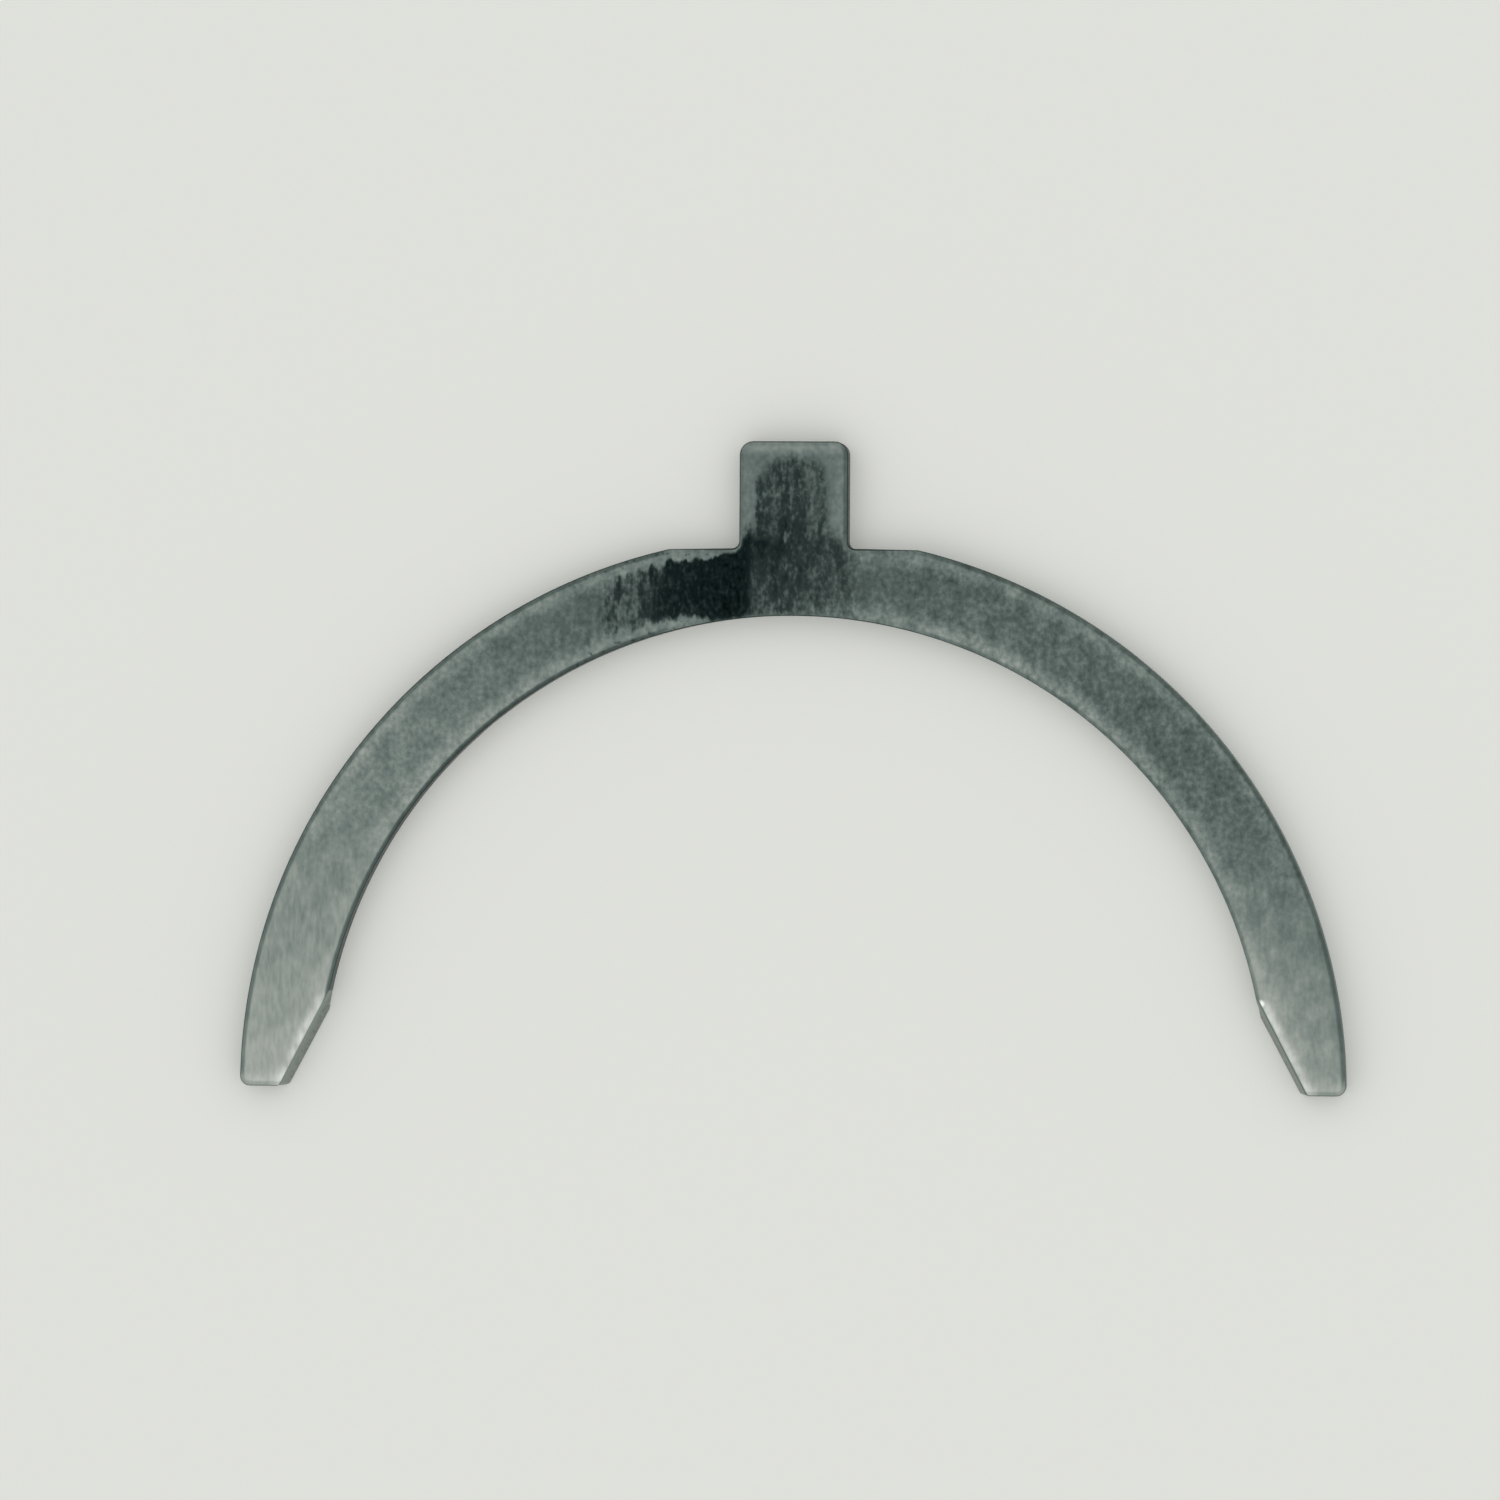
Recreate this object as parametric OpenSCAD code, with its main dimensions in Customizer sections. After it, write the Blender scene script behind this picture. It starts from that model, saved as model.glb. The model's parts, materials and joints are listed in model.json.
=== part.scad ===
// Half-ring thrust washer with a locating tab, one plate stamped from steel.
// It goes round a shaft of the inside diameter. The origin lies on the shaft axis, level
// with the grooved face. +Z points out of the plain back and +Y points out through the tab.

/* [Ring] */
// Inside diameter, over the shaft
inner_d = 76.8; // [60:0.1:120]
// Width of the ring, from its inside edge to its outside edge
band_w = 6.5; // [5.5:0.1:12]
// Thickness of the plate
plate_t = 2.5; // [1.5:0.1:5]

/* [Tab] */
// Width of the locating tab
tab_w = 8.8; // [6:0.1:12]
// How far the tab stands out past the outside diameter
tab_h = 7.6; // [3:0.1:15]
// Radius of the two outer corners of the tab
tab_corner_r = 1.1; // [0.8:0.1:2.5]
// Radius of the hollow corners where the tab meets the shoulders
tab_root_r = 0.6; // [0.4:0.1:2]

/* [Shoulders] */
// Width over the two flats beside the tab
shoulder_w = 20.2; // [17:0.1:26]
// Slope of each flat, falling away from the tab
shoulder_slope = 1; // [0.5:0.1:5]

/* [Tips] */
// Width of each flat end, on the diameter
tip_w = 3.7; // [3:0.1:5.5]
// Height of the slanted relief on the inner side of each end
relief_h = 6.4; // [3:0.1:12]
// How far the foot of the relief's sheared wall stands out past its head
relief_slant = 0.4; // [0:0.05:0.8]
// Radius of the outer corner of each end
tip_outer_r = 0.8; // [0.6:0.1:1.8]
// Radius of the inner corner of each end
tip_inner_r = 0.5; // [0.2:0.1:1]

/* [Oil grooves] */
// Width of a groove at the face
groove_w = 3.2; // [2:0.1:5]
// Depth of a groove
groove_depth = 0.4; // [0.2:0.05:0.8]
// Angle of each groove from the tab
groove_angle = 40; // [25:1:65]

/* [Edges] */
// Width of the rounded-over edge that the punch leaves round the back
roll_w = 0.7; // [0.2:0.05:0.75]
// Depth of the rounded-over edge
roll_h = 0.18; // [0.06:0.01:0.3]
// Chamfer round the grooved face
chamfer = 0.15; // [0.05:0.05:0.4]

/* [Hidden] */
$fn = 180;
// How far a cut reaches past the metal
over = 1;
// How far a chamfer's cut dips below the grooved face, less than the tightest corner
dip = 0.25;
// An arc is set this far into the lines that it blends, so that they cross cleanly
bite = 0.01;
inner_r = inner_d / 2;
outer_r = inner_r + band_w;
tab_top = outer_r + tab_h;
// The rounded-over edge is two flats that meet at a knee, the upper one shallow
knee_w = 0.55 * roll_w;
knee_h = 0.3 * roll_h;
// Outer end of a shoulder flat, on the outside diameter
flat_end = [shoulder_w / 2, sqrt(pow(outer_r, 2) - pow(shoulder_w / 2, 2))];
function flat_y(x) = flat_end[1] + tan(shoulder_slope) * (flat_end[0] - x);
// The slanted relief runs from the flat end of a tip up to the inside diameter
relief_foot = [outer_r - tip_w, 0];
relief_head = [sqrt(pow(inner_r, 2) - pow(relief_h, 2)), relief_h];
relief_lean = atan2(relief_foot[0] - relief_head[0], relief_h);
// Height of a wall between the rounded-over edge and the chamfer
wall_h = plate_t - roll_h - chamfer;
// Radius of the cutter that leaves a groove of this width and depth
groove_r = (pow(groove_w / 2, 2) + pow(groove_depth, 2)) / (2 * groove_depth);

module both_sides() {
  children();
  mirror([1, 0, 0]) children();
}

// Sections of what is cut away at an edge: x runs outward from the foot of the wall, y up
// from the face that each is drawn from. A slant sets the head of the wall back.
module back_section(reach = over, slant = 0) {
  polygon([
    [-slant - roll_w, over],
    [-slant - roll_w, 0],
    [-slant - knee_w, -knee_h],
    [-slant, -roll_h],
    [slant * (over + chamfer) / wall_h, -plate_t - over],
    [reach, -plate_t - over],
    [reach, over],
  ]);
}

module front_section(reach = over) {
  polygon([[-chamfer - dip, -dip], [reach, chamfer + reach], [reach, -dip]]);
}

module edge_section(reach = over) {
  translate([0, plate_t]) back_section(reach);
  front_section(reach);
}

// A section swept along a straight edge from a to b, with the metal on the left
module swept(a, b) {
  run = b - a;
  translate(a) rotate(atan2(run[1], run[0])) translate([-over, 0, 0]) rotate([90, 0, 90])
    linear_extrude(norm(run) + 2 * over) mirror([1, 0]) children();
}

module straight_cut(a, b, reach = over, slant = 0) {
  translate([0, 0, plate_t]) swept(a, b) back_section(reach, slant);
  swept(a, b) front_section(reach);
}

// The cut round an outside corner, from one direction to another. The edge form runs out
// where a tight corner has no room for all of it.
module corner_cut(centre, r, from, to) {
  translate(centre) rotate_extrude(start = from, angle = to - from) intersection() {
    translate([r, 0]) edge_section(r);
    translate([dip / 5, -over]) square([2 * (r + over), plate_t + 3 * over]);
  }
}

// The full ring with its edges formed, before the ends and the flats are cut
module ring_band() {
  rotate_extrude() difference() {
    translate([inner_r - over / 2, 0]) square([band_w + over, plate_t]);
    translate([outer_r, 0]) edge_section();
    translate([inner_r, 0]) mirror([1, 0]) edge_section();
  }
}

module tip_cuts() {
  outer_blend = tip_outer_r - bite;
  outer_corner = [sqrt(pow(outer_r - outer_blend, 2) - pow(outer_blend, 2)), outer_blend];
  corner_cut(outer_corner, tip_outer_r, -90, atan2(outer_corner[1], outer_corner[0]));

  straight_cut(relief_head, relief_foot, band_w, relief_slant);

  // The inner corner is too tight for the edge form, so its wall alone is rounded.
  // The corner leans with the relief's wall, which opens it a little.
  corner_lean = atan2(relief_slant / cos(relief_lean), wall_h);
  open_angle = 90 - atan(tan(relief_lean) * cos(corner_lean));
  inner_blend = (tip_inner_r - bite) / tan(open_angle / 2);
  translate([relief_foot[0], 0, chamfer]) rotate([0, corner_lean, 0])
    translate([inner_blend, tip_inner_r - bite, -over])
      rotate_extrude(start = 270 - open_angle, angle = open_angle)
        translate([tip_inner_r, 0]) square([over, plate_t + 2 * over]);
}

module half_ring() {
  difference() {
    ring_band();
    straight_cut([-outer_r, 0], [outer_r, 0], outer_r + over);
    both_sides() {
      tip_cuts();
      straight_cut(flat_end, [0, flat_y(0)], outer_r - flat_end[1] + over);
    }
  }
}

module tab() {
  foot = inner_r + band_w / 2;
  corner = [tab_w / 2, tab_top] - (tab_corner_r - bite) * [1, 1];
  difference() {
    translate([-(tab_w + over) / 2, foot, 0])
      cube([tab_w + over, tab_top - foot + over / 2, plate_t]);
    straight_cut([tab_w / 2, tab_top], [-tab_w / 2, tab_top]);
    both_sides() {
      straight_cut([tab_w / 2, foot], [tab_w / 2, tab_top]);
      corner_cut(corner, tab_corner_r, 0, 90);
    }
  }
}

// The metal that fills the hollow corner between the tab and a shoulder
module root_web() {
  sink = roll_w + over / 2;
  centre_x = tab_w / 2 + tab_root_r - bite;
  centre = [centre_x, flat_y(centre_x) + (tab_root_r - bite) / cos(shoulder_slope)];
  inner_x = tab_w / 2 - sink;
  difference() {
    linear_extrude(plate_t) polygon([
      centre,
      [inner_x, centre[1]],
      [inner_x, flat_y(inner_x) - sink],
      centre - (tab_root_r + sink) * [sin(shoulder_slope), cos(shoulder_slope)],
    ]);
    translate(centre) rotate_extrude() {
      translate([tab_root_r, 0]) mirror([1, 0]) edge_section(tab_root_r / 2);
      translate([0, -over]) square([tab_root_r * 0.6, plate_t + 2 * over]);
    }
  }
}

// The groove cutter is round, and only its top reaches up into the face
module oil_grooves() {
  both_sides() rotate([0, 0, groove_angle])
    translate([0, inner_r - over, groove_depth - groove_r])
      rotate([-90, 0, 0]) cylinder(r = groove_r, h = band_w + 2 * over);
}

module washer() {
  color("slategray") difference() {
    union() {
      half_ring();
      tab();
      both_sides() root_web();
    }
    oil_grooves();
  }
}

washer();
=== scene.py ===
# Half-ring thrust washer with a locating tab, stamped from steel plate, on a pale table.
import json
import math

import bmesh
import bpy
from mathutils import Matrix, Vector


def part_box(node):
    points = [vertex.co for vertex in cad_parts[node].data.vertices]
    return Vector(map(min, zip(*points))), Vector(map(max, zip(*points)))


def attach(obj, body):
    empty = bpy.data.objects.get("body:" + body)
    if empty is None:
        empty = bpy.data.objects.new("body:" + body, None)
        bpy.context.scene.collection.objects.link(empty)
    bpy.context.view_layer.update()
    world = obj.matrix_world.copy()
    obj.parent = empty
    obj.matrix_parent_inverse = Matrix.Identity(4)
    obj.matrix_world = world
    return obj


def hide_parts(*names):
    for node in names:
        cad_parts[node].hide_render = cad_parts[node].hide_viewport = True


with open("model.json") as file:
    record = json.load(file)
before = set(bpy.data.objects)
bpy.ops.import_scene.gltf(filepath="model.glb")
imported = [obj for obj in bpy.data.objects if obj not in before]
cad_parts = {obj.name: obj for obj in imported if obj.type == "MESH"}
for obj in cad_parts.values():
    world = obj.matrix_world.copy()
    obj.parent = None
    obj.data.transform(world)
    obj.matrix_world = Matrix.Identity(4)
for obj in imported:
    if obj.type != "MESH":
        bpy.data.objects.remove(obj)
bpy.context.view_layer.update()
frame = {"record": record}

MM = 0.001
low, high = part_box("washer")
mounts = {mount["name"]: mount for mount in frame["record"]["mounts"]}

# Driving sizes, where the frame doesn't give them
BAND_W = 6.5 * MM
TAB_W = 8.8 * MM
TAB_CORNER_R = 1.1 * MM
TAB_ROOT_R = 0.6 * MM
SHOULDER_W = 20.2 * MM
SHOULDER_SLOPE = math.radians(1)
TIP_W = 3.7 * MM
RELIEF_H = 6.4 * MM
RELIEF_SLANT = 0.4 * MM
TIP_OUTER_R = 0.8 * MM
TIP_INNER_R = 0.5 * MM
GROOVE_W = 3.2 * MM
GROOVE_DEPTH = 0.4 * MM
GROOVE_ANGLE = math.radians(40)
CHAMFER = 0.15 * MM

# The rounded-over edge that the punch leaves round the back
ROLL_W = 0.7 * MM
ROLL_H = 0.18 * MM
ROLL_STEPS = 8
# Above 1, the roll's steps are finest at the wall, where it bends most
ROLL_SPREAD = 1.2
WALL_TOP_SOFTENING = 0.04 * MM
# A strip of flat face inside each formed edge keeps the face's shading true
STRIP = 0.12 * MM
# The punch shears the upper part of the wall smooth, and the rest breaks off rough
BREAK_Z = 1.5 * MM
BREAK_SETBACK = 0.03 * MM

# Outline, taken from the frame
INNER_R = mounts["shaft_side"]["dims"]["r_mm"] * MM
OUTER_R = INNER_R + BAND_W
TAB_TOP = high[1]
PLATE_T = high[2]
WALL_TOP = PLATE_T - ROLL_H
WALL_FOOT = CHAMFER

FLAT_END = Vector((SHOULDER_W / 2, math.sqrt(OUTER_R**2 - (SHOULDER_W / 2)**2)))
RELIEF_FOOT = Vector((OUTER_R - TIP_W, 0))
RELIEF_HEAD = Vector((math.sqrt(INNER_R**2 - RELIEF_H**2), RELIEF_H))
RELIEF_RUN = (RELIEF_HEAD - RELIEF_FOOT).normalized()
# The tips are parted from the ring here while they are cut
TIP_TOP = RELIEF_H + 4 * MM

# Fineness of the mesh
STEP = 0.25 * MM
LEAST_ARC_STEPS = 6
TIP_CORNER_STEPS = 6
SOFTENING_STEPS = 2
GROOVE_FACETS = 180
SPOKES = 60
TAB_ROWS = 5
SHARP = math.radians(30)
# A face whose normal points this much one way counts as facing that way
FACING = 0.99
SQUARELY_FACING = 0.999
# A wall whose normal points up or down by less than this counts as upright
UPRIGHT = 0.1


def flat_y(x):
    """Height of a shoulder flat at x."""
    return FLAT_END.y + math.tan(SHOULDER_SLOPE) * (FLAT_END.x - x)


def relief_crest():
    """Where the head of a relief's leaning wall runs out at the inner edge."""
    start = RELIEF_FOOT + RELIEF_SLANT * Vector((RELIEF_RUN.y, -RELIEF_RUN.x))
    along = start.dot(RELIEF_RUN)
    reach = -along - math.sqrt(along**2 - start.length_squared + INNER_R**2)
    return start + reach * RELIEF_RUN


# Drawing and selecting by hand


def pick(piece):
    """Selects one piece and nothing else."""
    bpy.ops.object.select_all(action="DESELECT")
    bpy.context.view_layer.objects.active = piece
    piece.select_set(True)


def edit(piece, kind):
    """Opens one piece for editing its vertices, edges or faces."""
    pick(piece)
    bpy.ops.object.mode_set(mode="EDIT")
    bpy.ops.mesh.select_mode(type=kind)


def done():
    """Ends the editing of the open piece."""
    bpy.ops.object.mode_set(mode="OBJECT")


def select(piece, kind, wanted):
    """Selects the vertices, edges or faces of the open piece that pass a test."""
    bpy.ops.mesh.select_all(action="DESELECT")
    bpy.ops.mesh.select_mode(type=kind)
    mesh = bmesh.from_edit_mesh(piece.data)
    mesh.normal_update()
    parts = {"VERT": mesh.verts, "EDGE": mesh.edges, "FACE": mesh.faces}[kind]
    for part in parts:
        if wanted(part):
            part.select_set(True)
    mesh.select_flush_mode()
    bmesh.update_edit_mesh(piece.data)


def face_at(test):
    """Makes a test of a face from a test of its centre and normal."""
    return lambda face: test(face.calc_center_median(), face.normal)


def end_of_line(piece):
    """Where the one selected vertex of the open piece lies."""
    mesh = bmesh.from_edit_mesh(piece.data)
    return next(v.co.copy() for v in mesh.verts if v.select)


def draw_line(piece, to):
    """Extrudes the end of the outline along a straight line."""
    start = end_of_line(piece)
    run = Vector((to[0], to[1], start.z)) - start
    bpy.ops.mesh.extrude_vertices_move(TRANSFORM_OT_translate={"value": run})


def draw_arc(piece, centre, turn):
    """Spins the end of the outline round a centre, anticlockwise for a positive turn."""
    start = end_of_line(piece)
    pivot = Vector((centre[0], centre[1], start.z))
    steps = max(LEAST_ARC_STEPS, round(abs(turn) * (start - pivot).length / STEP))
    bpy.ops.mesh.spin(steps=steps, angle=-turn, center=pivot, axis=(0, 0, 1))


def angle_of(point):
    """The angle at which a point lies round the shaft, from the right tip's end."""
    return math.atan2(point[1], point[0])


def apply_modifier(piece, kind, name, **settings):
    """Adds a modifier with these settings and applies it at once."""
    modifier = piece.modifiers.new(name, kind)
    for key, value in settings.items():
        setattr(modifier, key, value)
    bpy.ops.object.modifier_apply(modifier=modifier.name)


# The plate


def draw_half_outline(piece):
    """Draws the outline from the top of the bore round the right tip to the tab's middle."""
    quarter = math.pi / 2
    tip_corner = Vector((math.sqrt((OUTER_R - TIP_OUTER_R)**2 - TIP_OUTER_R**2), TIP_OUTER_R))
    tab_corner = Vector((TAB_W / 2 - TAB_CORNER_R, TAB_TOP - TAB_CORNER_R))
    root_x = TAB_W / 2 + TAB_ROOT_R
    root = Vector((root_x, flat_y(root_x) + TAB_ROOT_R / math.cos(SHOULDER_SLOPE)))
    off_shoulder = Vector((math.sin(SHOULDER_SLOPE), math.cos(SHOULDER_SLOPE)))

    draw_arc(piece, (0, 0), -quarter)
    draw_line(piece, (tip_corner.x, 0))
    draw_arc(piece, tip_corner, quarter + angle_of(tip_corner))
    draw_arc(piece, (0, 0), angle_of(FLAT_END) - angle_of(tip_corner))
    draw_line(piece, root - TAB_ROOT_R * off_shoulder)
    draw_arc(piece, root, SHOULDER_SLOPE - quarter)
    draw_line(piece, (TAB_W / 2, tab_corner.y))
    draw_arc(piece, tab_corner, quarter)
    draw_line(piece, (0, TAB_TOP))


def plate_blank():
    """The plate with straight walls, before its reliefs are cut and its edges formed."""
    bpy.ops.object.select_all(action="DESELECT")
    bpy.ops.mesh.primitive_plane_add(size=MM)
    piece = bpy.context.object
    piece.name = "washer_steel"
    edit(piece, "VERT")
    bpy.ops.mesh.select_all(action="SELECT")
    bpy.ops.mesh.merge(type="CENTER")
    bpy.ops.transform.translate(value=(0, INNER_R, WALL_FOOT))
    draw_half_outline(piece)
    done()
    apply_modifier(piece, "MIRROR", "other_half", merge_threshold=0.01 * MM)
    edit(piece, "EDGE")
    bpy.ops.mesh.select_all(action="SELECT")
    bpy.ops.mesh.edge_face_add()
    bpy.ops.mesh.extrude_region_move(
        TRANSFORM_OT_translate={"value": (0, 0, WALL_TOP - WALL_FOOT)})
    bpy.ops.mesh.select_all(action="SELECT")
    bpy.ops.mesh.normals_make_consistent(inside=False)
    bpy.ops.mesh.bisect(plane_co=(0, TIP_TOP, 0), plane_no=(0, 1, 0))
    return piece


def cut_relief(piece, side):
    """Cuts the slanted relief off one tip and rounds the corner that it leaves."""
    select(piece, "FACE", face_at(lambda c, n: side * c.x > 0 and c.y < TIP_TOP))
    # The cut leans, so that the wall's foot stands out past its head by the slant
    slope = RELIEF_SLANT / (WALL_TOP - WALL_FOOT)
    lean = Vector((-RELIEF_RUN.y, RELIEF_RUN.x, slope)).normalized()
    cut_normal = Vector((side * lean.x, lean.y, lean.z))
    bpy.ops.mesh.bisect(
        plane_co=(side * RELIEF_FOOT.x, 0, WALL_FOOT), plane_no=cut_normal,
        use_fill=True, clear_outer=True)

    def is_corner(edge):
        if len(edge.link_faces) != 2:
            return False
        normals = [face.normal for face in edge.link_faces]
        on_cut = any(n.dot(cut_normal) > SQUARELY_FACING for n in normals)
        return on_cut and any(n.y < -SQUARELY_FACING for n in normals)

    select(piece, "EDGE", is_corner)
    opening = math.acos(RELIEF_RUN.x)
    bpy.ops.mesh.bevel(
        offset=TIP_INNER_R / math.tan(opening / 2), offset_type="OFFSET",
        segments=TIP_CORNER_STEPS, profile=0.5, affect="EDGES")


def roll_depth(inset):
    """Depth of the rounded-over edge below the back, at this inset from the wall."""
    return ROLL_H * (1 - inset / ROLL_W)**2


def roll_top_edge(piece):
    """Rolls the top edge over in fine steps that flatten towards the face."""
    select(piece, "FACE", face_at(lambda c, n: n.z > FACING))
    insets = [ROLL_W * (k / ROLL_STEPS)**ROLL_SPREAD for k in range(ROLL_STEPS + 1)]
    # The tips' tight inner corners run to a point from here on, so their points are merged
    corners_close = 0.7 * TIP_INNER_R
    for start, end in zip(insets, insets[1:]):
        if start > corners_close:
            bpy.ops.mesh.remove_doubles(threshold=STEP / 4)
        bpy.ops.mesh.inset(
            thickness=end - start, depth=roll_depth(start) - roll_depth(end),
            use_even_offset=True)
    bpy.ops.mesh.inset(thickness=STRIP, depth=0, use_even_offset=True)


def chamfer_bottom_edge(piece):
    """Takes a small chamfer off the edge round the thrust face."""
    select(piece, "FACE", face_at(lambda c, n: n.z < -FACING))
    bpy.ops.mesh.inset(thickness=CHAMFER, depth=CHAMFER, use_even_offset=True)
    bpy.ops.mesh.inset(thickness=STRIP, depth=0, use_even_offset=True)


def soften_wall_top(piece):
    """Takes the sharp line off the top of the wall, where the roll starts."""

    def is_wall_top(edge):
        return (all(abs(v.co.z - WALL_TOP) < 0.001 * MM for v in edge.verts)
                and edge.calc_face_angle(0) > SHARP)

    select(piece, "EDGE", is_wall_top)
    bpy.ops.mesh.bevel(
        offset=WALL_TOP_SOFTENING, offset_type="OFFSET", segments=SOFTENING_STEPS,
        affect="EDGES")


def break_wall(piece):
    """Sets the lower part of the wall back a little, where the metal broke off.

    The smooth part above leans out from there to the full outline.
    """
    bpy.ops.mesh.select_all(action="SELECT")
    bpy.ops.mesh.bisect(plane_co=(0, 0, BREAK_Z), plane_no=(0, 0, 1))
    # The reliefs' leaning walls stay where they are
    select(piece, "FACE", face_at(lambda c, n: c.z < BREAK_Z and abs(n.z) < UPRIGHT))
    bpy.ops.transform.shrink_fatten(value=-BREAK_SETBACK)
    # Leaning corners can shift the foot a little, so it is set level again
    near_foot = WALL_FOOT + 0.02 * MM
    select(piece, "VERT", lambda v: v.co.z < near_foot)
    bpy.ops.transform.resize(value=(1, 1, 0), center_override=(0, 0, WALL_FOOT))


def divide_faces(piece):
    """Divides the flat faces across the band, into cells that mesh evenly."""
    is_flat = face_at(lambda c, n: abs(n.z) > SQUARELY_FACING)
    for k in range(1, SPOKES):
        angle = math.pi * k / SPOKES
        select(piece, "FACE", is_flat)
        bpy.ops.mesh.bisect(
            plane_co=(0, 0, 0), plane_no=(math.sin(angle), -math.cos(angle), 0))
    for k in range(TAB_ROWS):
        height = OUTER_R + (TAB_TOP - OUTER_R) * k / TAB_ROWS
        select(piece, "FACE", is_flat)
        bpy.ops.mesh.bisect(plane_co=(0, height, 0), plane_no=(0, 1, 0))


def cut_oil_groove(piece, side):
    """Mills a shallow round-bottomed groove across the thrust face."""
    radius = ((GROOVE_W / 2)**2 + GROOVE_DEPTH**2) / (2 * GROOVE_DEPTH)
    angle = -side * GROOVE_ANGLE
    middle = (INNER_R + OUTER_R) / 2
    bpy.ops.object.select_all(action="DESELECT")
    # The cutter is longer than the band is wide, so that it runs out at both edges
    bpy.ops.mesh.primitive_cylinder_add(
        vertices=GROOVE_FACETS, radius=radius, depth=BAND_W + 4 * MM,
        location=(-math.sin(angle) * middle, math.cos(angle) * middle, GROOVE_DEPTH - radius),
        rotation=(math.pi / 2, 0, angle))
    cutter = bpy.context.object
    bpy.ops.object.transform_apply()
    pick(piece)
    apply_modifier(
        piece, "BOOLEAN", "oil_groove", operation="DIFFERENCE", object=cutter, solver="EXACT")
    bpy.data.objects.remove(cutter)


def build_washer():
    """Blanks the plate, cuts its reliefs, forms its edges and mills its grooves."""
    piece = plate_blank()
    for side in (1, -1):
        cut_relief(piece, side)
    roll_top_edge(piece)
    soften_wall_top(piece)
    break_wall(piece)
    chamfer_bottom_edge(piece)
    divide_faces(piece)
    done()
    for side in (1, -1):
        cut_oil_groove(piece, side)
    bpy.ops.object.shade_smooth_by_angle(angle=SHARP)
    return piece


# Nodes for the materials


def srgb(level):
    """A channel of 0 to 255 as the linear value that renders as it."""
    value = level / 255
    return value / 12.92 if value <= 0.04045 else ((value + 0.055) / 1.055)**2.4


def colour(red, green, blue):
    """A colour from its channels of 0 to 255."""
    return (srgb(red), srgb(green), srgb(blue), 1)


def tones(*points):
    """Points of a curve whose tones are given as levels of 0 to 255."""
    return [(where, level / 255) for where, level in points]


class Finish:
    """A node material, with short calls for the nodes that the finishes share."""

    def __init__(self, name):
        self.material = bpy.data.materials.new(name)
        self.material.use_nodes = True
        self.tree = self.material.node_tree
        self.shader = self.tree.nodes["Principled BSDF"]

    def node(self, kind, **settings):
        """Adds a shader node with these settings."""
        node = self.tree.nodes.new("ShaderNode" + kind)
        for key, value in settings.items():
            setattr(node, key, value)
        return node

    def feed(self, socket, value):
        """Links a socket to a node's output, or sets it to a plain value."""
        if isinstance(value, bpy.types.NodeSocket):
            self.tree.links.new(value, socket)
        else:
            socket.default_value = value

    def math(self, operation, *values):
        node = self.node("Math", operation=operation)
        for socket, value in zip(node.inputs, values):
            self.feed(socket, value)
        return node.outputs[0]

    def chain(self, operation, total, *values):
        """The same operation with one value after another."""
        for value in values:
            total = self.math(operation, total, value)
        return total

    def add(self, *values):
        return self.chain("ADD", *values)

    def less(self, *values):
        """The first value with all the others taken from it."""
        return self.chain("SUBTRACT", *values)

    def times(self, *values):
        return self.chain("MULTIPLY", *values)

    def least(self, *values):
        return self.chain("MINIMUM", *values)

    def most(self, *values):
        return self.chain("MAXIMUM", *values)

    def length(self, across, along):
        """Length of a line that goes this far across and along."""
        return self.math("SQRT", self.add(self.times(across, across), self.times(along, along)))

    def centred(self, noise, amount):
        """Noise as a swing of this amount about zero."""
        return self.times(self.less(noise, 0.5), amount)

    def rise(self, value, start, end, low=0, high=1, how="SMOOTHSTEP"):
        """Goes smoothly from low to high while the value goes from start to end."""
        node = self.node("MapRange", interpolation_type=how)
        for name, number in (("Value", value), ("From Min", start), ("From Max", end),
                             ("To Min", low), ("To Max", high)):
            self.feed(node.inputs[name], number)
        return node.outputs["Result"]

    def between(self, value, start, full, fade, end):
        """1 from full to fade, and 0 outside start to end."""
        return self.times(self.rise(value, start, full), self.rise(value, fade, end, 1, 0))

    def mix(self, factor, low, high):
        """Goes from low to high while the factor goes from 0 to 1."""
        node = self.node("Mix", data_type="FLOAT")
        sockets = (node.inputs[0], node.inputs[2], node.inputs[3])
        for socket, value in zip(sockets, (factor, low, high)):
            self.feed(socket, value)
        return node.outputs[0]

    def curve(self, value, points):
        """A smooth curve through a few points, for a value and results from 0 to 1."""
        node = self.node("FloatCurve")
        self.feed(node.inputs["Value"], value)
        curve = node.mapping.curves[0]
        for point, (x, y) in zip(curve.points, (points[0], points[-1])):
            point.location = (x, y)
        for x, y in points[1:-1]:
            curve.points.new(x, y)
        node.mapping.update()
        return node.outputs[0]

    def curve_over(self, value, start, end, points):
        """The same, for a value that goes from start to end."""
        return self.curve(self.rise(value, start, end, how="LINEAR"), points)

    def noise(self, place, size, detail=2, roughness=0.5, shift=0):
        """Noise from 0 to 1 whose patches are about size mm in x, y and z."""
        scaled = self.node("Mapping")
        self.feed(scaled.inputs["Vector"], place)
        scaled.inputs["Scale"].default_value = [1 / length for length in size]
        scaled.inputs["Location"].default_value = (shift, shift, shift)
        node = self.node("TexNoise")
        self.feed(node.inputs["Vector"], scaled.outputs[0])
        node.inputs["Scale"].default_value = 1
        node.inputs["Detail"].default_value = detail
        node.inputs["Roughness"].default_value = roughness
        return node.outputs["Fac"]

    def ramp(self, value, stops):
        """Blends from colour to colour while the value goes from stop to stop."""
        node = self.node("ValToRGB")
        self.feed(node.inputs[0], value)
        elements = node.color_ramp.elements
        for element, (position, tint) in zip(elements, (stops[0], stops[-1])):
            element.position = position
            element.color = tint
        for position, tint in stops[1:-1]:
            elements.new(position).color = tint
        return node.outputs[0]


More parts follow.
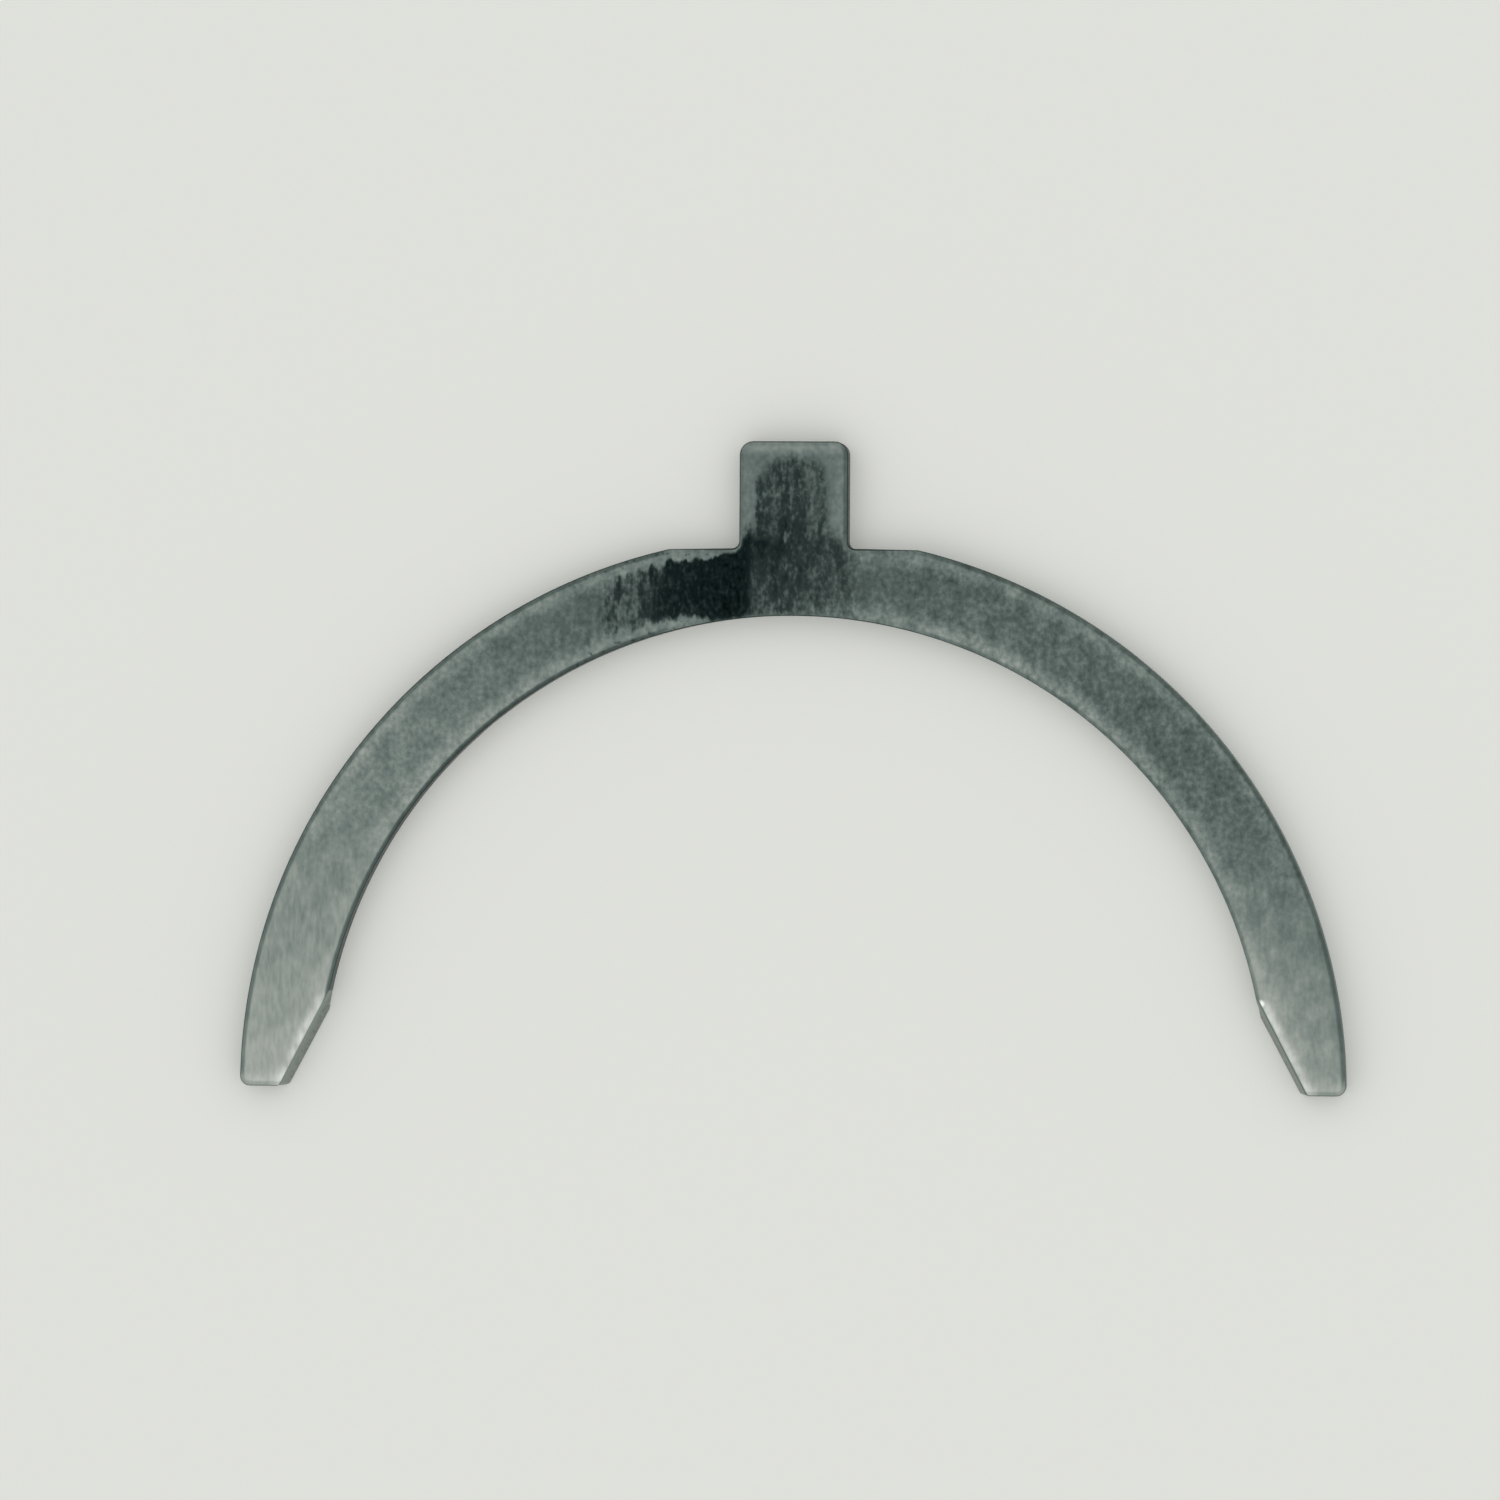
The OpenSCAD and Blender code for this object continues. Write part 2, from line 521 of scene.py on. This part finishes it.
# Where a point of the washer lies


def rounded(f, first, second, corner):
    """Distance inside two edges that meet at an outside corner of this radius."""
    across = f.less(corner, first)
    along = f.less(corner, second)
    beyond = f.least(f.most(across, along), 0)
    return f.less(corner, f.length(f.most(across, 0), f.most(along, 0)), beyond)


def filled(f, first, second, corner):
    """Distance inside either of two edges that meet at a hollow corner of this radius."""
    across = f.most(f.add(first, corner), 0)
    along = f.most(f.add(second, corner), 0)
    return f.less(f.length(across, along), corner)


class Spot:
    """A point of the washer in mm: its place, and how far inside each edge it lies."""

    def __init__(self, f):
        metric = f.node("Mapping")
        f.feed(metric.inputs["Vector"], f.node("TexCoord").outputs["Object"])
        metric.inputs["Scale"].default_value = (1 / MM, 1 / MM, 1 / MM)
        self.place = metric.outputs[0]
        split = f.node("SeparateXYZ")
        f.feed(split.inputs[0], self.place)
        self.x, self.y, self.z = split.outputs
        self.width = f.math("ABSOLUTE", self.x)
        self.radius = f.length(self.x, self.y)
        # Height as a share of the whole washer's
        self.height = f.math("DIVIDE", self.y, TAB_TOP / MM)
        # 1 on the back, which faces up, and 0 on the thrust face
        self.back = f.rise(self.z, 0.6, 2)

        ring = f.least(f.less(OUTER_R / MM, self.radius), f.less(flat_y(TAB_W) / MM, self.y))
        tab = rounded(f, f.less(TAB_W / 2 / MM, self.width), f.less(TAB_TOP / MM, self.y),
                      TAB_CORNER_R / MM)
        self.outer = filled(f, ring, tab, TAB_ROOT_R / MM)
        self.inner = f.less(self.radius, INNER_R / MM)
        self.rim = f.least(self.outer, self.inner)
        # Inside the rim and the tips' flat ends
        self.end = rounded(f, self.rim, self.y, TIP_OUTER_R / MM)
        # Inside the reliefs' leaning walls
        relief = f.add(f.times(f.less(self.width, RELIEF_FOOT.x / MM), RELIEF_RUN.y),
                       f.times(self.y, -RELIEF_RUN.x), -RELIEF_SLANT / MM)
        self.relief = f.most(relief, f.less(self.y, relief_crest().y / MM))
        # The right relief shows its edge a little further in
        self.relief_edge = f.less(self.relief, f.rise(self.x, -5, 5, 0, 0.1))


# The washer's finish. A tone is the steel's green level as a share of white.

# Red, green and blue of the steel, from its darkest tone to its brightest
STEEL_TINTS = [(0, 0, 0), (24, 35, 35), (50, 61, 59), (91, 103, 99),
               (112, 124, 120), (137, 146, 140), (170, 176, 169), (250, 255, 249)]
OIL_TONE = 30 / 255
NICK_TONE = 50 / 255
RELIEF_WALL_TONE = 150 / 255
TIP_WALL_TONE = 118 / 255

# How far clouds and grain swing the tone of the bare face, and specks and streaks the oil's
CLOUD_SWING = 0.16
GRAIN_SWING = 0.25
OIL_SPECK_SWING = 0.26
OIL_STREAK_SWING = 0.3
# The most that oil covers the steel on the back, and how far painted shade darkens the grooves
OIL_COVER = 0.97
GROOVE_SHADE = 0.35

# How far in from its edge a rim's painted highlight reaches, and how far in it is full
RIM_REACH = 1.9
RIM_FULL = 0.5
LEG_HIGHLIGHT_REACH = 4.5

# The painted shade line of the rolled-over edge: how far in it reaches, how far in it is full,
# and its strength along the outer edge and by the tab
LINE_REACH = 0.48
LINE_FULL = 0.25
OUTER_LINE = 0.24
TAB_LINE = 0.06

# How far inside its edge a wall's tone has faded out, and how far inside it is full
WALL_FADE = (0.1, 0.04)

# Left and right ends of the stain on the ring and on the tab
RING_STAIN = (-24, 8)
TAB_STAIN = (-4, 4)
# The arch at the top of the stain on the tab: its middle, its height and its bend
ARCH_X = 0.2
ARCH_TOP = 51.95
ARCH_BEND = 0.17
# The bright scratch in the stain
SCRATCH_X = -0.65
SCRATCH_Y = 44.75

SHEEN_ROUGHNESS = 0.36
SHEEN_ROUGHNESS_SWING = 0.16
GRAIN_BUMP = 0.25
GRAIN_BUMP_H = 0.01 * MM


def bare_tone_with_painted_light(f, at):
    """Tone of the bare face, with painted light: darker at the top and brighter at the tips."""
    left = f.curve(at.height, tones(
        (0, 169), (0.22, 145), (0.42, 130), (0.6, 120), (0.7, 106), (1, 110)))
    right = f.curve(at.height, tones(
        (0, 155), (0.17, 136), (0.37, 109), (0.55, 98), (0.71, 104), (0.8, 96), (0.88, 106),
        (1, 110)))
    return f.mix(f.rise(at.x, -3, 3), left, right)


def painted_highlights(f, at):
    """Painted highlights that brighten the tone along the edges: one value for each kind."""
    # Painted highlight: the legs' inside edges are brighter, the right one most
    leg = f.curve(at.height, [(0, 0.14), (0.15, 0.07), (0.45, 0.02), (1, 0.02)])
    right_more = f.rise(at.x, -10, 30, 0.35, 1)
    leg_highlight = f.times(f.rise(at.inner, LEG_HIGHLIGHT_REACH, RIM_FULL), leg, right_more)
    # Painted highlight: the rims of the ring are brighter
    rim_highlight_strength = f.curve(at.height, [(0, 0.03), (0.3, 0.03), (0.5, 0.075), (0.8, 0.085), (1, 0.02)])
    inner_rim = f.times(f.rise(at.inner, RIM_REACH, RIM_FULL), f.rise(at.x, 0, 20, 1, 1.6))
    upper_left = f.between(at.x, -30, -22, -12, -4)
    outer_rim = f.times(f.rise(at.outer, RIM_REACH, RIM_FULL),
                        f.add(1, f.times(upper_left, 0.3)))
    rim_highlights = f.times(f.add(outer_rim, inner_rim), rim_highlight_strength)
    # Painted highlights also brighten the flat ends of the tips and the top of the tab
    tip_ends = f.rise(at.y, 1.4, 0.4, 0, 0.055)
    tab_top = f.rise(at.y, 51.2, 52.1, 0, 0.09)
    return leg_highlight, rim_highlights, tip_ends, tab_top


def grain(f, at, streaks):
    """Swings of the tone: clouds, and specks that draw out into streaks on the legs."""
    clouds = f.noise(at.place, (1.3, 2.2, 2.2), detail=1)
    specks = f.noise(at.place, (0.42, 0.5, 0.5), detail=2, shift=5)
    on_legs = f.times(f.rise(at.height, 0.5, 0.2), f.rise(at.x, -10, 10, 1, 0.55))
    fine = f.mix(on_legs, specks, streaks)
    # It is smoothest at the tips and on the tab
    left = f.rise(at.height, 0.1, 0.45, 0.75, 1.05)
    right = f.rise(at.height, 0.15, 0.38, 0.95, 1.3)
    on_tab = f.rise(at.y, 44.5, 46, 1, 0.55)
    depth = f.times(f.mix(f.rise(at.x, -10, 10), left, right), on_tab)
    return f.times(f.add(f.centred(clouds, CLOUD_SWING), f.centred(fine, GRAIN_SWING)), depth)


def ring_stain(f, at, blots, columns):
    """Oil on the ring: thickest beside the tab's left root, thin to the left and right."""
    wavering = f.add(at.x, f.centred(blots, 0.7))
    along = f.curve_over(wavering, *RING_STAIN, [
        (0, 0), (0.09, 0.03), (0.19, 0.14), (0.26, 0.22), (0.29, 0.44), (0.34, 0.5),
        (0.36, 0.53), (0.375, 0.76), (0.41, 0.87), (0.45, 0.98), (0.5, 1), (0.615, 1),
        (0.65, 0.7), (0.72, 0.65), (0.8, 0.5), (0.87, 0.46), (0.92, 0.24), (0.97, 0.1), (1, 0)])
    along = f.times(along, f.add(1, f.times(f.between(at.x, -11, -9.5, -4.5, -4), 0.12)))
    # Its upper and lower borders are torn, and keep off the edges further left
    torn = f.times(f.centred(columns, 1.3), f.rise(at.x, -5, -7))
    off_outer = f.rise(at.x, -9, -4, 0.85, 0.05)
    off_inner = f.rise(at.x, -9, -6, 0.85, -0.1)
    outside = f.rise(f.add(f.less(at.outer, off_outer), torn), -0.1, 0.5)
    inside = f.rise(f.add(f.less(at.inner, off_inner), torn), -0.3, 0.7)
    # Under the tab it is thinner towards the bore, least so in the middle
    left_gap = f.times(f.between(at.x, -3.9, -3.2, -2, -1.2), 0.25)
    thin = f.add(left_gap, f.rise(at.x, 0.2, 1.2, 0.05, 0.13))
    thin = f.times(thin, f.rise(at.x, -4, -3), f.rise(at.y, 43, 39.8))
    below_tab = f.rise(at.y, 45.4, 44.2)
    return f.times(along, outside, inside, below_tab, f.less(1, thin))


def tab_stain(f, at):
    """Oil on the tab: an arch in uneven columns, clear of the tab's sides."""
    column = f.curve_over(at.x, *TAB_STAIN, [
        (0, 0), (0.08, 0), (0.15, 0.64), (0.22, 0.5), (0.35, 0.58), (0.6, 0.56),
        (0.68, 0.44), (0.78, 0.44), (0.85, 0.2), (0.94, 0), (1, 0)])
    across = f.less(at.x, ARCH_X)
    arch = f.less(ARCH_TOP, f.times(across, across, ARCH_BEND))
    return f.times(column, f.rise(f.less(arch, at.y), -0.4, 1.3), f.rise(at.y, 43.5, 45))


def root_stain(f, at, streaks, blots):
    """Oil at the tab's root, from side to side and blackest at the left, with a ragged top."""
    ragged = f.add(at.y, f.centred(streaks, 2.4), f.centred(blots, 1.2))
    sides = f.between(at.x, -4.3, -3.6, 2.8, 4.6)
    height = (f.rise(ragged, 46.8, 44), f.rise(at.y, 43.2, 44.4))
    return f.times(sides, *height, f.rise(at.x, -3.9, -2.9, 1.1, 0.6))


def scratch(f, at):
    """A bright upright scratch in the stain, at the foot of the tab."""
    across = f.times(f.less(at.x, SCRATCH_X), 6)
    along = f.times(f.less(at.y, SCRATCH_Y), 1.6)
    return f.rise(f.length(across, along), 1.1, 0.5, 0, 0.75)


def oil_stain(f, at):
    """How much oil has darkened a place, and the tone of the oiled metal there."""
    streaks = f.noise(at.place, (0.36, 1.1, 1.1), detail=3, roughness=0.6, shift=3)
    specks = f.noise(at.place, (0.3, 0.4, 0.4), detail=2, shift=13)
    blots = f.noise(at.place, (0.7, 1.6, 1.6), detail=2, shift=23)
    columns = f.noise(at.place, (0.6, 6, 6), detail=1, shift=29)

    # It is a little thicker at the foot of the tab, left of its middle
    foot = f.times(f.between(at.x, -3.4, -2.4, -0.5, 0.5),
                   f.between(at.y, 42.6, 44.2, 45.6, 47.5), 0.12)
    oil = f.add(f.most(ring_stain(f, at, blots, columns), tab_stain(f, at),
                       root_stain(f, at, streaks, blots)), foot)

    # It is mottled, most at its thin left end and least under the tab
    left_end = f.times(f.centred(columns, 1.2), f.rise(at.x, -9, -12))
    mottling = f.add(f.centred(streaks, 1), f.centred(specks, 0.9), f.centred(blots, 0.8),
                     left_end)
    strength = f.most(f.rise(at.x, -10, -5, 1.15, 0.82), f.rise(at.y, 43, 45.5, 0, 1.05))
    oil = f.add(oil, f.times(mottling, strength, f.rise(oil, 0, 0.4)))
    cover = f.times(f.rise(oil, 0.04, 1, 0, OIL_COVER), f.less(1, scratch(f, at)))

    # Below the tab it is a little blacker
    below_tab = f.times(f.rise(at.x, -9, -5), f.rise(at.y, 46, 44.5), 0.03)
    tone = f.add(f.less(OIL_TONE, below_tab), f.centred(specks, OIL_SPECK_SWING),
                 f.centred(streaks, OIL_STREAK_SWING))
    return cover, tone


def painted_roll_shade(f, at, face):
    """Darkens the face along the rolled-over edge, with a line of painted shade."""
    # 1 on the inner half of the band, whose line is darker at the left
    inner_side = f.rise(at.radius, 42, 41)
    inner_line = f.curve_over(at.x, -36, 36, [
        (0, 0.36), (0.14, 0.44), (0.3, 0.36), (0.5, 0.24), (0.7, 0.18), (1, 0.18)])
    line = f.mix(inner_side, OUTER_LINE, inner_line)
    # The line is faint by the tab and at the tips' ends, but not down the tab's right side
    by_tab = f.rise(at.width, 12, 9.5)
    line = f.less(line, f.times(by_tab, f.less(line, TAB_LINE)))
    tip_ends = f.rise(at.y, 1.5, 0.5, 0, 0.12)
    tab_right = f.times(f.between(at.x, 3.7, 4, 4.4, 4.5), f.rise(at.y, 44, 44.8))
    line = f.add(f.less(line, tip_ends), f.times(tab_right, 0.16))
    from_line = f.add(at.end, f.times(inner_side, 0.07))
    face = f.times(face, f.less(1, f.times(f.rise(from_line, LINE_REACH, LINE_FULL), line)))
    # Painted shade darkens the right leg's outer edge over the whole width of its roll
    roll_shade = f.times(f.rise(at.end, 1.6, 0.3), f.less(1, inner_side),
                   f.between(at.y, 0.5, 2, 12, 17), f.rise(at.x, 20, 35, 0, 0.11))
    return f.times(face, f.less(1, roll_shade))


def edge_nicks(f, at, face):
    """Adds small dark nicks along the inner edge left of the stain."""
    nicks = f.noise(at.place, (0.5, 0.5, 0.5), detail=1, shift=17)
    left_of_stain = f.between(at.x, -20, -17, -7, -5)
    nicked = f.times(f.rise(nicks, 0.6, 0.66), f.rise(at.rim, 0.75, 0.4), left_of_stain)
    return f.mix(f.times(nicked, 0.5), face, NICK_TONE)


def painted_relief_highlight(f, at, face):
    """Adds a painted highlight on the bend above the reliefs' walls."""
    highlight_swing = f.noise(at.place, (1.2, 1.2, 1.2), detail=1, shift=19)
    crest = relief_crest() / MM
    beside_relief = f.rise(at.y, crest.y + 0.4, crest.y - 0.8)
    bend_highlight = f.times(f.between(at.relief_edge, -0.02, 0.2, 0.3, 1.1), beside_relief)
    face = f.add(face, f.times(bend_highlight, at.back, f.add(0.04, f.times(highlight_swing, 0.17))))
    # A painted glint, where the right relief's crest catches the light most
    from_x = f.less(at.x, crest.x + 0.4)
    from_y = f.less(at.y, crest.y - 0.35)
    return f.add(face, f.times(f.rise(f.length(from_x, from_y), 0.4, 0.1, 0, 0.3), at.back))


def wall_tone(f, at):
    """Tone of the walls, which look darker than they are, since they mirror the table."""
    # Painted shade makes the walls darker on the left leg and in the middle than on the right
    # leg
    smooth = f.curve_over(at.x, -45, 45, tones(
        (0, 90), (0.1, 76), (0.2, 58), (0.35, 70), (0.5, 60), (0.56, 60), (0.65, 84),
        (0.9, 118), (1, 118)))
    smooth = f.mix(f.rise(at.relief, 0.1, 0), smooth, RELIEF_WALL_TONE)
    smooth = f.mix(f.rise(at.y, 0.12, 0.04), smooth, TIP_WALL_TONE)
    breaks = f.noise(at.place, (0.25, 0.25, 1.2), detail=2, shift=11)
    rough = f.times(smooth, f.add(0.75, f.times(breaks, 0.4)))
    return f.mix(f.rise(at.z, BREAK_Z / MM - 0.1, BREAK_Z / MM + 0.2), rough, smooth)


def finish_steel():
    """Dull rolled steel with a fine grain up the plate, darkened by oil round the tab."""
    f = Finish("oiled_steel")
    at = Spot(f)
    streaks = f.noise(at.place, (0.34, 1.2, 1.2), detail=2, shift=7)
    # Painted highlights brighten the legs' inside edges, the rims, the tips' ends and the tab's
    # top
    # The bare tone carries painted light, darker at the top and brighter at the tips
    face = f.add(bare_tone_with_painted_light(f, at), *painted_highlights(f, at))
    face = f.add(face, grain(f, at, streaks))

    oil_cover, oil_tone = oil_stain(f, at)
    face = f.mix(f.times(oil_cover, at.back), face, oil_tone)
    # Painted shade darkens the grooves
    in_groove = f.between(at.z, 0.02, 0.3, 0.45, 0.7)
    face = f.times(face, f.less(1, f.times(in_groove, GROOVE_SHADE)))

    # Painted shade along the rolled edge, and a painted highlight above the reliefs
    face = painted_relief_highlight(f, at, edge_nicks(f, at, painted_roll_shade(f, at, face)))
    on_wall = f.rise(f.least(at.end, at.relief_edge), *WALL_FADE)
    tone = f.mix(on_wall, face, wall_tone(f, at))
    stops = [(green / 255, colour(red, green, blue)) for red, green, blue in STEEL_TINTS]
    f.feed(f.shader.inputs["Base Color"], f.ramp(tone, stops))
    f.shader.inputs["Metallic"].default_value = 1
    f.feed(f.shader.inputs["Roughness"],
           f.add(SHEEN_ROUGHNESS, f.times(streaks, SHEEN_ROUGHNESS_SWING)))
    bump = f.node("Bump")
    bump.inputs["Strength"].default_value = GRAIN_BUMP
    bump.inputs["Distance"].default_value = GRAIN_BUMP_H
    f.feed(bump.inputs["Height"], streaks)
    f.feed(f.shader.inputs["Normal"], bump.outputs[0])
    return f.material


washer = build_washer()
washer.data.materials.clear()
washer.data.materials.append(finish_steel())
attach(washer, "root")
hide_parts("washer")


# Camera, floor and light

# The camera's turns about x, y and z, and the washer's place in front of it
CAMERA_TURNS = (math.radians(0.28), math.radians(-5.64), math.radians(-0.36))
CAMERA_SHIFT = Vector((3.46, -27.55, -810.49)) * MM
CAMERA_LENS = 240
FLOOR_SIZE = 4
# The floor stays clear of the thrust face, so that the two don't flicker
FLOOR_GAP = 0.02 * MM
TABLE = (0.79, 0.80, 0.76, 1)
# The camera and the metal see the table with this share of its tone free of shadow
SHADOW_LIFT = 0.18
TABLE_SEEN = (0.648, 0.656, 0.623, 1)
TABLE_GLOW = (0.72, 0.727, 0.691, 1)
TABLE_ROUGHNESS = 0.9
# The room's colours low down and overhead, each with how steeply one looks up to where it
# starts to blend into the other: 0 is level, and 1 is straight up
ROOM_LOW = (0.05, (0.694, 0.701, 0.665, 1))
ROOM_HIGH = (0.8, (1, 1, 1, 1))


def add_camera():
    """A long lens almost straight above, fitted to the photograph's own view."""
    about_x, about_y, about_z = (
        Matrix.Rotation(turn, 3, axis) for turn, axis in zip(CAMERA_TURNS, "XYZ"))
    upright = (about_x @ about_y @ about_z).transposed()
    data = bpy.data.cameras.new("camera")
    data.lens = CAMERA_LENS
    data.clip_end = 10
    camera = bpy.data.objects.new("camera", data)
    bpy.context.collection.objects.link(camera)
    camera.matrix_world = Matrix.Translation(-(upright @ CAMERA_SHIFT)) @ upright.to_4x4()
    bpy.context.scene.camera = camera


def add_floor():
    """A pale table that keeps the washer's shadow."""
    bpy.ops.mesh.primitive_plane_add(size=FLOOR_SIZE, location=(0, 0, low[2] - FLOOR_GAP))
    floor = bpy.context.object
    floor.name = "floor"
    f = Finish("pale_table")
    # The camera and the metal see the shadow a little lighter, and the light stays the same
    path = f.node("LightPath")
    seen = f.most(path.outputs["Is Camera Ray"], path.outputs["Is Glossy Ray"])
    f.feed(f.shader.inputs["Base Color"], f.ramp(seen, [(0, TABLE), (1, TABLE_SEEN)]))
    f.shader.inputs["Emission Color"].default_value = TABLE_GLOW
    f.feed(f.shader.inputs["Emission Strength"], f.times(seen, SHADOW_LIFT))
    f.shader.inputs["Roughness"].default_value = TABLE_ROUGHNESS
    floor.data.materials.append(f.material)


def add_world():
    """A pale room, as pale as the table low down and lighter overhead."""
    world = bpy.data.worlds.new("studio")
    world.use_nodes = True
    tree = world.node_tree
    place = tree.nodes.new("ShaderNodeTexCoord")
    split = tree.nodes.new("ShaderNodeSeparateXYZ")
    ramp = tree.nodes.new("ShaderNodeValToRGB")
    tree.links.new(place.outputs["Generated"], split.inputs[0])
    tree.links.new(split.outputs["Z"], ramp.inputs[0])
    tree.links.new(ramp.outputs[0], tree.nodes["Background"].inputs["Color"])
    for element, (position, tint) in zip(ramp.color_ramp.elements, (ROOM_LOW, ROOM_HIGH)):
        element.position = position
        element.color = tint
    bpy.context.scene.world = world


add_camera()
add_floor()
add_world()
bpy.context.scene.view_settings.view_transform = "Standard"
